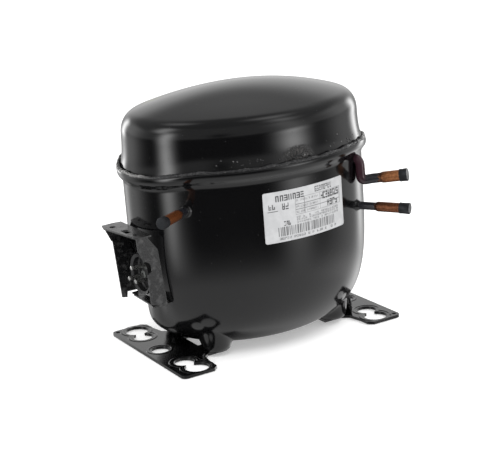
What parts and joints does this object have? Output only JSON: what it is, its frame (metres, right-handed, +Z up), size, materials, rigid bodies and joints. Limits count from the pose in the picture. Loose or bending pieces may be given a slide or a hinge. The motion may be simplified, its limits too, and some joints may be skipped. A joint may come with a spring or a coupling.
{
  "type": "hermetic reciprocating compressor",
  "caption": "Hermetic reciprocating compressor: oval black welded shell on foot rails, with copper tube stubs, a terminal guard and a spring-hung piston pump inside.",
  "frame": {"origin": "bottom centre of the bounding box, on the plane of the foot rails' undersides", "axes": "+Z up, +X from the terminal side towards the cylinder head, along the shell's long axis; -Y is the side with the nameplate and the tube stubs"},
  "size_m": [0.2238, 0.1804, 0.2017],
  "materials": {
    "black_paint": "gloss black baked paint",
    "weld_paint": "black paint over a rough weld bead",
    "fence_sheet": "thin black paint over pressed sheet",
    "copper": "bare copper, painted black near the shell",
    "steel": "machined or plated steel",
    "spring_steel": "bright spring steel",
    "laminations": "stacked electrical steel",
    "cast_iron": "grey cast iron, machined on its faces",
    "aluminium": "die-cast aluminium",
    "rubber": "matt black rubber",
    "label": "printed silver-white foil",
    "plastic": "off-white moulded plastic",
    "winding_wire": "varnished copper wire",
    "gasket": "pressed fibre sheet",
    "bronze": "bearing bronze"
  },
  "bodies": {
    "shell": {"lower_shell": "black_paint", "top_cover": "black_paint", "weld_seam": "weld_paint", "foot_rail_left": "black_paint", "foot_rail_right": "black_paint", "nameplate": "label", "discharge_tube": "copper", "discharge_tube_plug": "rubber", "process_tube": "copper", "process_tube_plug": "rubber", "suction_tube": "copper", "suction_tube_plug": "rubber", "terminal_fence": "fence_sheet", "terminal_cup": "steel", "terminal_pin_common": "steel", "terminal_pin_start": "steel", "terminal_pin_run": "steel", "terminal_connector": "plastic", "earth_screw": "steel", "spring_stud_1": "plastic", "spring_stud_2": "plastic", "spring_stud_3": "plastic", "spring_stud_4": "plastic", "suspension_spring_1": "spring_steel", "suspension_spring_2": "spring_steel", "suspension_spring_3": "spring_steel", "suspension_spring_4": "spring_steel", "shock_tube": "copper"},
    "pump_frame": {"stator_core": "laminations", "winding_upper": "winding_wire", "winding_lower": "winding_wire", "crankcase": "cast_iron", "stator_bolt_1": "steel", "stator_bolt_2": "steel", "stator_bolt_3": "steel", "stator_bolt_4": "steel", "cylinder_gasket": "gasket", "valve_plate": "steel", "head_gasket": "gasket", "cylinder_head": "aluminium", "head_bolt_1": "steel", "head_bolt_2": "steel", "head_bolt_3": "steel", "head_bolt_4": "steel", "valve_stop": "steel", "suction_muffler": "plastic", "discharge_muffler": "steel", "thrust_washer": "bronze"},
    "crank": {"crankshaft": "cast_iron", "rotor_core": "laminations", "counterweight": "cast_iron", "oil_pickup": "steel"},
    "gallery_plug": {"oil_gallery_plug": "bronze"},
    "crank_block": {"slide_block": "bronze"},
    "piston": {"piston_yoke": "steel"},
    "suction_valve": {"suction_reed": "spring_steel"},
    "discharge_valve": {"discharge_reed": "spring_steel"}
  },
  "joints": [
    {"name": "suspension_bounce", "type": "slide", "parent": "shell", "child": "pump_frame", "axis": [0, 0, 1], "range_m": [-0.003, 0.003], "stiffness_N_per_m": 24000, "springref_m": 0.00275, "deforming": ["suspension_spring_1", "suspension_spring_2", "suspension_spring_3", "suspension_spring_4", "shock_tube"]},
    {"name": "crankshaft_spin", "type": "hinge", "parent": "pump_frame", "child": "crank", "pos_m": [0.00675, 0.00691, 0.11], "axis": [0, 0, 1], "continuous": true},
    {"name": "gallery_plug_turn", "type": "hinge", "parent": "crank", "child": "gallery_plug", "pos_m": [0.00282, 0.00691, 0.048], "axis": [0, 0, 1], "continuous": true},
    {"name": "piston_stroke", "type": "hinge", "parent": "gallery_plug", "child": "piston", "pos_m": [-0.0011, 0.00691, 0.14], "axis": [0, 0, 1], "continuous": true},
    {"name": "slide_block_turn", "type": "hinge", "parent": "crank", "child": "crank_block", "pos_m": [-0.0011, 0.00691, 0.14], "axis": [0, 0, 1], "continuous": true},
    {"name": "suction_reed_lift", "type": "hinge", "parent": "pump_frame", "child": "suction_valve", "pos_m": [0.0666, 0.00241, 0.1305], "axis": [0, -1, 0], "range_deg": [0, 4], "stiffness_Nm_per_rad": 0.01},
    {"name": "discharge_reed_lift", "type": "hinge", "parent": "pump_frame", "child": "discharge_valve", "pos_m": [0.0699, 0.01141, 0.1305], "axis": [0, 1, 0], "range_deg": [0, 4], "stiffness_Nm_per_rad": 0.01}
  ],
  "couplings": [
    {"joint": "gallery_plug_turn", "follows": "crankshaft_spin", "ratio": -2},
    {"joint": "piston_stroke", "follows": "crankshaft_spin", "ratio": 1},
    {"joint": "slide_block_turn", "follows": "crankshaft_spin", "ratio": -1}
  ]
}
